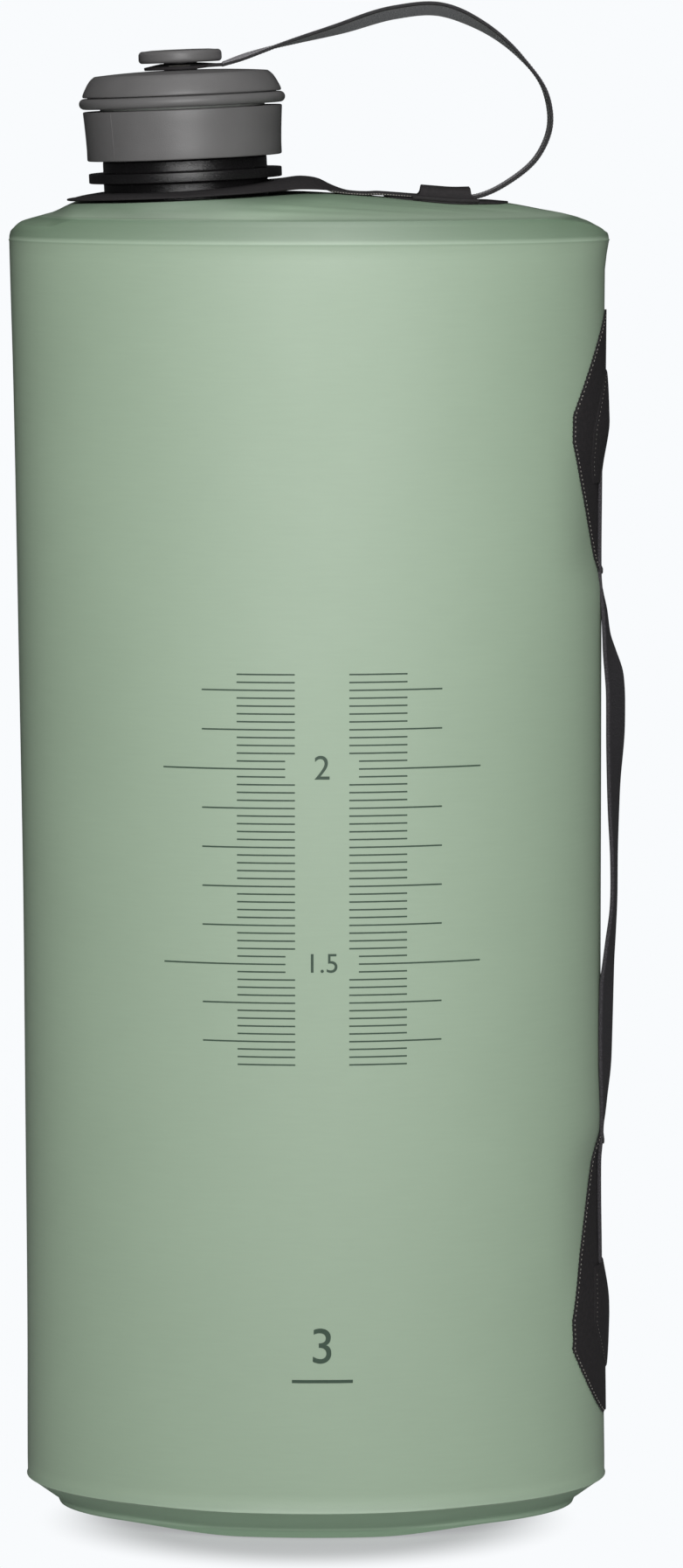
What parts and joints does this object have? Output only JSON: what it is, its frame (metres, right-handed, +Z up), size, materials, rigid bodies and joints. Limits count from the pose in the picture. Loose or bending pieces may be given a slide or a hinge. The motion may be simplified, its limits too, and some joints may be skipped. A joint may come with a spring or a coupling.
{
  "type": "collapsible water carrier",
  "caption": "Soft water carrier that stands by itself, with a screw cap kept by a loop leash, a webbing side handle and walls that fold down when empty",
  "frame": {"origin": "the middle of the base, on the surface that the carrier stands on", "axes": "+Z up. The front, which shows in the picture, faces -Y. The handle is on the +X side and the neck is set off towards -X."},
  "size_m": [0.1628, 0.0834, 0.4039],
  "materials": {
    "sage_film": "translucent sage-green polyurethane film, satin, welded at its edges",
    "black_neck": "moulded, smooth and glossy",
    "grey_cap": "moulded, finely textured, satin",
    "clear_silicone": "moulded silicone, satin",
    "charcoal_webbing": "heathered woven webbing",
    "coated_sheet": "coated fabric, matte, stitched along its edges"
  },
  "bodies": {
    "pouch": {"front_panel": "sage_film", "back_panel": "sage_film", "bottom_gusset": "sage_film", "handle_webbing": "charcoal_webbing", "upper_patch": "coated_sheet", "lower_patch": "coated_sheet", "upper_cover": "coated_sheet", "lower_cover": "coated_sheet", "upper_bar_tack": "charcoal_webbing", "lower_bar_tack": "charcoal_webbing"},
    "top": {"top_gusset": "sage_film", "neck_spout": "black_neck", "neck_strap": "coated_sheet", "top_patch": "coated_sheet", "strap_keeper": "coated_sheet", "leash_strap": "charcoal_webbing"},
    "leash_end": {"leash_eye": "coated_sheet"},
    "cap": {"cap_skirt": "grey_cap", "cap_crown": "grey_cap", "grip_ring": "grey_cap", "cap_gasket": "clear_silicone", "leash_stud": "grey_cap"}
  },
  "joints": [
    {"name": "collapse", "type": "slide", "parent": "pouch", "child": "top", "axis": [0, 0, -1], "range_m": [0, 0.24], "deforming": ["front_panel", "back_panel", "handle_webbing", "upper_patch", "lower_patch", "upper_cover", "lower_cover", "upper_bar_tack", "lower_bar_tack"]},
    {"name": "cap_lift", "type": "slide", "parent": "top", "child": "leash_end", "axis": [-0.0419, 0, 0.9991], "range_m": [0, 0.0081], "deforming": ["leash_strap"]},
    {"name": "cap_turn", "type": "hinge", "parent": "leash_end", "child": "cap", "pos_m": [-0.0315, 0, 0.352], "axis": [-0.0419, 0, 0.9991], "range_deg": [0, 720]}
  ],
  "couplings": [
    {"joint": "cap_lift", "follows": "cap_turn", "m_per_rad": 0.00063662}
  ]
}
